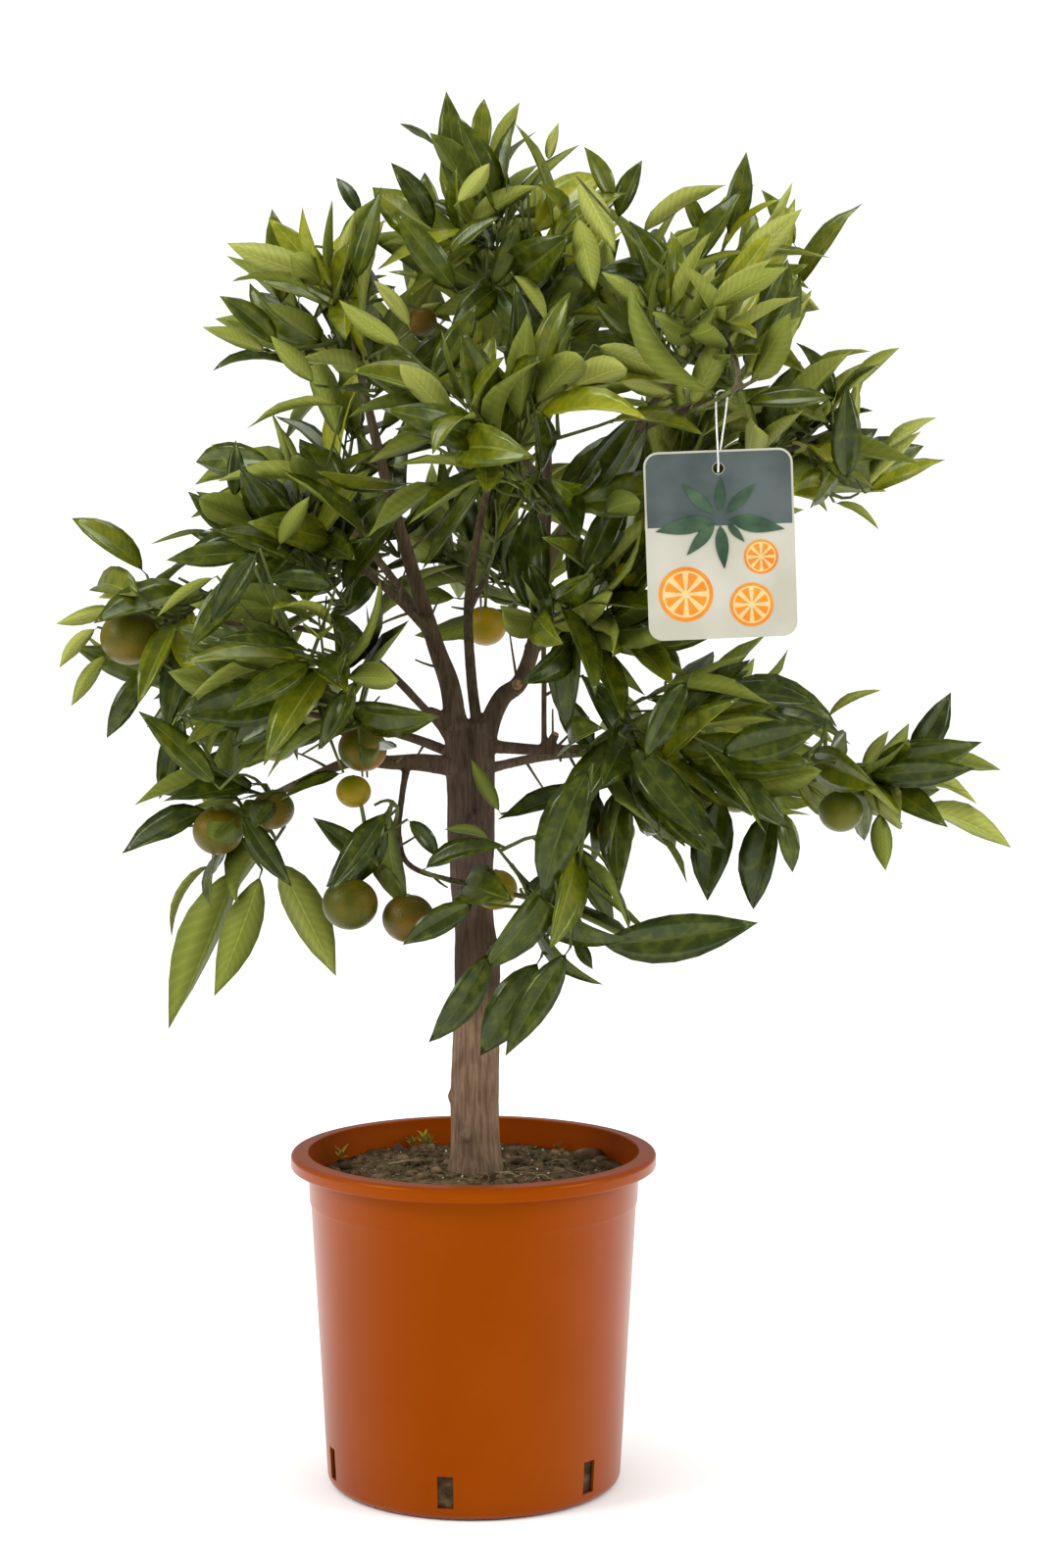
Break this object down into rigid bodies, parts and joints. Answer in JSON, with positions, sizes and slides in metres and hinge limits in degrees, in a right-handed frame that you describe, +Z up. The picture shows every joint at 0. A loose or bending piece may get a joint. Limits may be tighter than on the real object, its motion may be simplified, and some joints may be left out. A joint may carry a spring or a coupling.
{
  "type": "potted kucle citrus tree",
  "caption": "Potted kucle citrus tree: a short forked trunk under an open, bushy crown of pointed leaves and small fruit, in a round orange nursery pot, with a hanging card label.",
  "frame": {"origin": "middle of the pot's flat underside", "axes": "+Z up, along the pot's axis; the picture's viewer stands on the -Y side"},
  "size_m": [0.5582, 0.4128, 0.8275],
  "materials": {
    "orange_plastic": "smooth moulded plastic with a soft sheen",
    "potting_soil": "loose, moist and matte",
    "bark": "rough, with fine streaks along the stem",
    "foliage": "glossy upper sides and paler matte undersides",
    "card": "printed and laminated, satin",
    "thread": "matte white"
  },
  "bodies": {
    "root": {"pot": "orange_plastic", "soil": "potting_soil", "trunk": "bark", "bough_crown_top": "bark", "bough_upper_left": "bark", "bough_back_top": "bark", "bough_upper_right": "bark", "bough_right_shoulder": "bark", "bough_centre_front": "bark", "bough_left_shoulder": "bark", "bough_far_left": "bark", "bough_lower_left": "bark", "bough_left_front": "bark", "bough_hanging": "bark", "bough_inner_left": "bark", "bough_far_right": "bark", "bough_right_front": "bark", "bough_right_low": "bark", "bough_front_right": "bark", "bough_back_left": "bark", "bough_back_right": "bark", "bough_back_low_left": "bark", "bough_back_low_right": "bark", "bough_back_middle": "bark", "foliage_crown_top": "foliage", "foliage_upper_left": "foliage", "foliage_upper_right": "foliage", "foliage_right_shoulder": "foliage", "foliage_centre_front": "foliage", "foliage_left_shoulder": "foliage", "foliage_far_left": "foliage", "foliage_left_front": "foliage", "foliage_lower_left": "foliage", "foliage_inner_left": "foliage", "foliage_hanging": "foliage", "foliage_right_front": "foliage", "foliage_right_low": "foliage", "foliage_far_right": "foliage", "foliage_front_right": "foliage", "foliage_back_top": "foliage", "foliage_back_left": "foliage", "foliage_back_right": "foliage", "foliage_back_low_left": "foliage", "foliage_back_low_right": "foliage", "foliage_back_middle": "foliage", "label_card": "card", "label_thread": "thread"}
  },
  "joints": []
}
